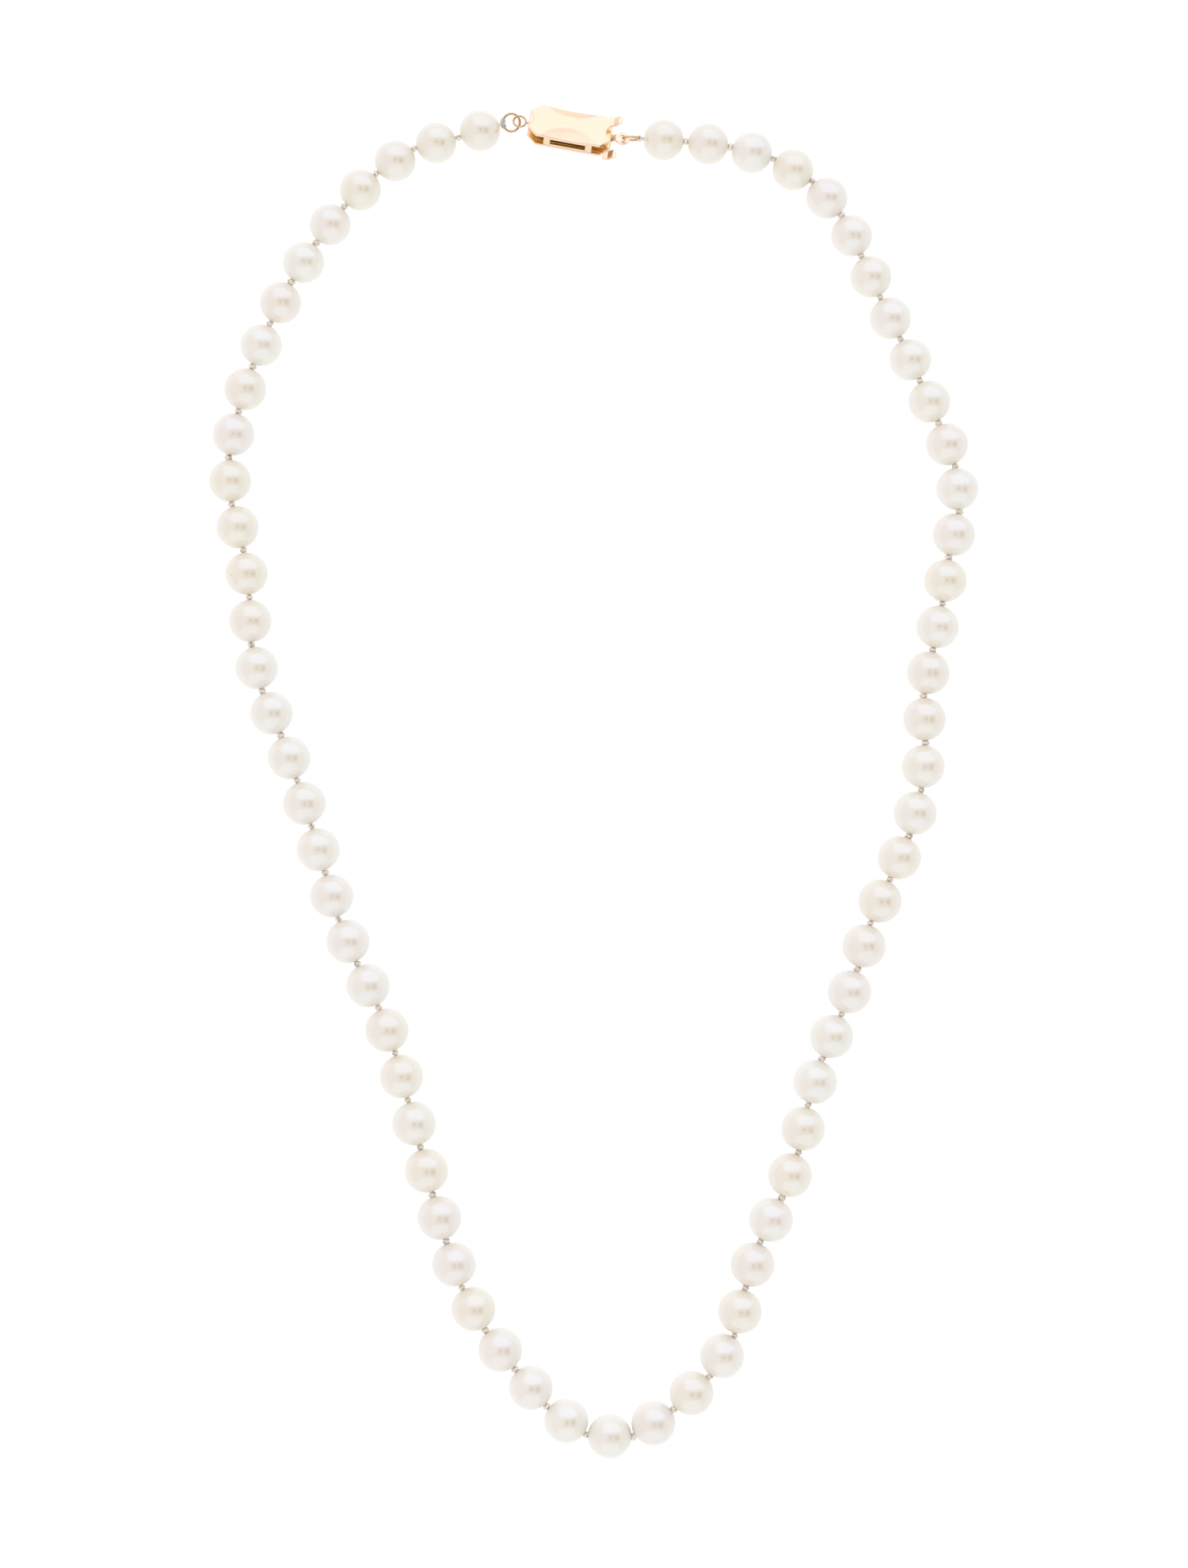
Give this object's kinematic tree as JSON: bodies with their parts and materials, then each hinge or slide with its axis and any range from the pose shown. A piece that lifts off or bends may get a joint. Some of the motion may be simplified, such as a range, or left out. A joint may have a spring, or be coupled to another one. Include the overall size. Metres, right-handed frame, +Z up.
{
  "type": "pearl necklace",
  "caption": "Single strand of round graduated pearls, knotted on silk between pearls, closed by a gold box clasp with a sliding sprung tongue and jump rings.",
  "frame": {"origin": "centre of the necklace's box, on the surface that it lies on", "axes": "+Z up from the surface, +Y from the front pearls towards the clasp, +X to the right seen from above"},
  "size_m": [0.1166, 0.205, 0.0067],
  "materials": {
    "pearl": "cream white nacre with a satin lustre",
    "yellow_gold": "polished yellow gold with fine scratches",
    "silk": "twisted silk thread"
  },
  "bodies": {
    "clasp_box": {"clasp_cover": "yellow_gold", "clasp_base": "yellow_gold", "clasp_side_posts": "yellow_gold", "clasp_end_post": "yellow_gold", "box_ring": "yellow_gold"},
    "tongue": {"tongue_blade": "yellow_gold"},
    "spring_leaf": {"tongue_spring_leaf": "yellow_gold"},
    "left_ring": {"left_jump_ring": "yellow_gold", "left_thread_wrap": "silk"},
    "right_ring": {"right_jump_ring": "yellow_gold", "right_thread_wrap": "silk"},
    "strand_01": {"pearls_01": "pearl", "thread_01": "silk"},
    "strand_02": {"pearls_02": "pearl", "thread_02": "silk"},
    "strand_03": {"pearls_03": "pearl", "thread_03": "silk"},
    "strand_04": {"pearls_04": "pearl", "thread_04": "silk"},
    "strand_05": {"pearls_05": "pearl", "thread_05": "silk"},
    "strand_06": {"pearls_06": "pearl", "thread_06": "silk"},
    "strand_07": {"pearls_07": "pearl", "thread_07": "silk"},
    "strand_08": {"pearls_08": "pearl", "thread_08": "silk"},
    "strand_09": {"pearls_09": "pearl", "thread_09": "silk"},
    "strand_10": {"pearls_10": "pearl", "thread_10": "silk"},
    "strand_11": {"pearls_11": "pearl", "thread_11": "silk"},
    "strand_12": {"pearls_12": "pearl", "thread_12": "silk"},
    "strand_13": {"pearls_13": "pearl", "thread_13": "silk"},
    "strand_14": {"pearls_14": "pearl", "thread_14": "silk"},
    "strand_15": {"pearls_15": "pearl", "thread_15": "silk"},
    "strand_16": {"pearls_16": "pearl", "thread_16": "silk"},
    "strand_17": {"pearls_17": "pearl", "thread_17": "silk"},
    "strand_18": {"pearls_18": "pearl", "thread_18": "silk"},
    "strand_19": {"pearls_19": "pearl", "thread_19": "silk"},
    "strand_20": {"pearls_20": "pearl", "thread_20": "silk"},
    "strand_21": {"pearls_21": "pearl", "thread_21": "silk"},
    "strand_22": {"pearls_22": "pearl", "thread_22": "silk"}
  },
  "joints": [
    {"name": "tongue_slide", "type": "slide", "parent": "clasp_box", "child": "tongue", "axis": [0.9839, -0.1788, 0], "range_m": [0, 0.013]},
    {"name": "spring_leaf_press", "type": "hinge", "parent": "tongue", "child": "spring_leaf", "pos_m": [-0.00849, 0.09955, 0.00242], "axis": [0.1646, 0.9057, -0.3907], "range_deg": [0, 2.3], "stiffness_Nm_per_rad": 0.1},
    {"name": "right_ring_swing", "type": "hinge", "parent": "tongue", "child": "right_ring", "pos_m": [0.00437, 0.09739, 0.00283], "axis": [0.0699, 0.3844, 0.9205], "range_deg": [-25, 25]},
    {"name": "left_ring_swing", "type": "hinge", "parent": "clasp_box", "child": "left_ring", "pos_m": [-0.01125, 0.10005, 0.00242], "axis": [0, 0, 1], "range_deg": [-20, 20]},
    {"name": "strand_01_bend", "type": "hinge", "parent": "left_ring", "child": "strand_01", "pos_m": [-0.01397, 0.09956, 0.00306], "axis": [0, 0, 1], "range_deg": [-35, 30]},
    {"name": "strand_02_bend", "type": "hinge", "parent": "strand_01", "child": "strand_02", "pos_m": [-0.03295, 0.09204, 0.00309], "axis": [0, 0, -1], "range_deg": [-30, 56]},
    {"name": "strand_03_bend", "type": "hinge", "parent": "strand_02", "child": "strand_03", "pos_m": [-0.04585, 0.07558, 0.00314], "axis": [0, 0, 1], "range_deg": [-49, 0]},
    {"name": "strand_04_bend", "type": "hinge", "parent": "strand_03", "child": "strand_04", "pos_m": [-0.05387, 0.05598, 0.00317], "axis": [0, 0, -1], "range_deg": [0, 49]},
    {"name": "strand_05_bend", "type": "hinge", "parent": "strand_04", "child": "strand_05", "pos_m": [-0.05305, 0.03497, 0.00321], "axis": [0, 0, 1], "range_deg": [-36, 0]},
    {"name": "strand_06_bend", "type": "hinge", "parent": "strand_05", "child": "strand_06", "pos_m": [-0.05026, 0.01362, 0.00325], "axis": [0, 0, -1], "range_deg": [0, 53]},
    {"name": "strand_07_bend", "type": "hinge", "parent": "strand_06", "child": "strand_07", "pos_m": [-0.04277, -0.00686, 0.00328], "axis": [0, 0, 1], "range_deg": [-42, 0]},
    {"name": "strand_08_bend", "type": "hinge", "parent": "strand_07", "child": "strand_08", "pos_m": [-0.03585, -0.02767, 0.0033], "axis": [0, 0, -1], "range_deg": [0, 47]},
    {"name": "strand_09_bend", "type": "hinge", "parent": "strand_08", "child": "strand_09", "pos_m": [-0.02817, -0.0483, 0.00332], "axis": [0, 0, 1], "range_deg": [-43, 0]},
    {"name": "strand_10_bend", "type": "hinge", "parent": "strand_09", "child": "strand_10", "pos_m": [-0.02235, -0.06968, 0.00334], "axis": [0, 0, 1], "range_deg": [-46, 0]},
    {"name": "strand_11_bend", "type": "hinge", "parent": "strand_10", "child": "strand_11", "pos_m": [-0.01192, -0.08903, 0.00335], "axis": [0, 0, 1], "range_deg": [-46, 0]},
    {"name": "strand_12_bend", "type": "hinge", "parent": "strand_11", "child": "strand_12", "pos_m": [0.00598, -0.09931, 0.00335], "axis": [0, 0, -1], "range_deg": [0, 80]},
    {"name": "strand_13_bend", "type": "hinge", "parent": "strand_12", "child": "strand_13", "pos_m": [0.02135, -0.08391, 0.00335], "axis": [0, 0, 1], "range_deg": [-62, 0]},
    {"name": "strand_14_bend", "type": "hinge", "parent": "strand_13", "child": "strand_14", "pos_m": [0.02848, -0.06313, 0.00334], "axis": [0, 0, -1], "range_deg": [0, 50]},
    {"name": "strand_15_bend", "type": "hinge", "parent": "strand_14", "child": "strand_15", "pos_m": [0.03459, -0.04204, 0.00332], "axis": [0, 0, 1], "range_deg": [-37, 0]},
    {"name": "strand_16_bend", "type": "hinge", "parent": "strand_15", "child": "strand_16", "pos_m": [0.04191, -0.02147, 0.0033], "axis": [0, 0, -1], "range_deg": [0, 35]},
    {"name": "strand_17_bend", "type": "hinge", "parent": "strand_16", "child": "strand_17", "pos_m": [0.04962, -0.00136, 0.00328], "axis": [0, 0, 1], "range_deg": [-54, 0]},
    {"name": "strand_18_bend", "type": "hinge", "parent": "strand_17", "child": "strand_18", "pos_m": [0.05137, 0.01988, 0.00325], "axis": [0, 0, -1], "range_deg": [0, 44]},
    {"name": "strand_19_bend", "type": "hinge", "parent": "strand_18", "child": "strand_19", "pos_m": [0.05537, 0.04076, 0.00321], "axis": [0, 0, 1], "range_deg": [-61, 0]},
    {"name": "strand_20_bend", "type": "hinge", "parent": "strand_19", "child": "strand_20", "pos_m": [0.04943, 0.06067, 0.00317], "axis": [0, 0, -1], "range_deg": [0, 45]},
    {"name": "strand_21_bend", "type": "hinge", "parent": "strand_20", "child": "strand_21", "pos_m": [0.04055, 0.07952, 0.00314], "axis": [0, 0, 1], "range_deg": [-45, 0]},
    {"name": "strand_22_bend", "type": "hinge", "parent": "strand_21", "child": "strand_22", "pos_m": [0.02723, 0.09429, 0.00309], "axis": [0, 0, -1], "range_deg": [-28, 58]}
  ],
  "couplings": [
    {"joint": "strand_10_bend", "follows": "tongue_slide", "rad_per_m": -5.8949}
  ]
}
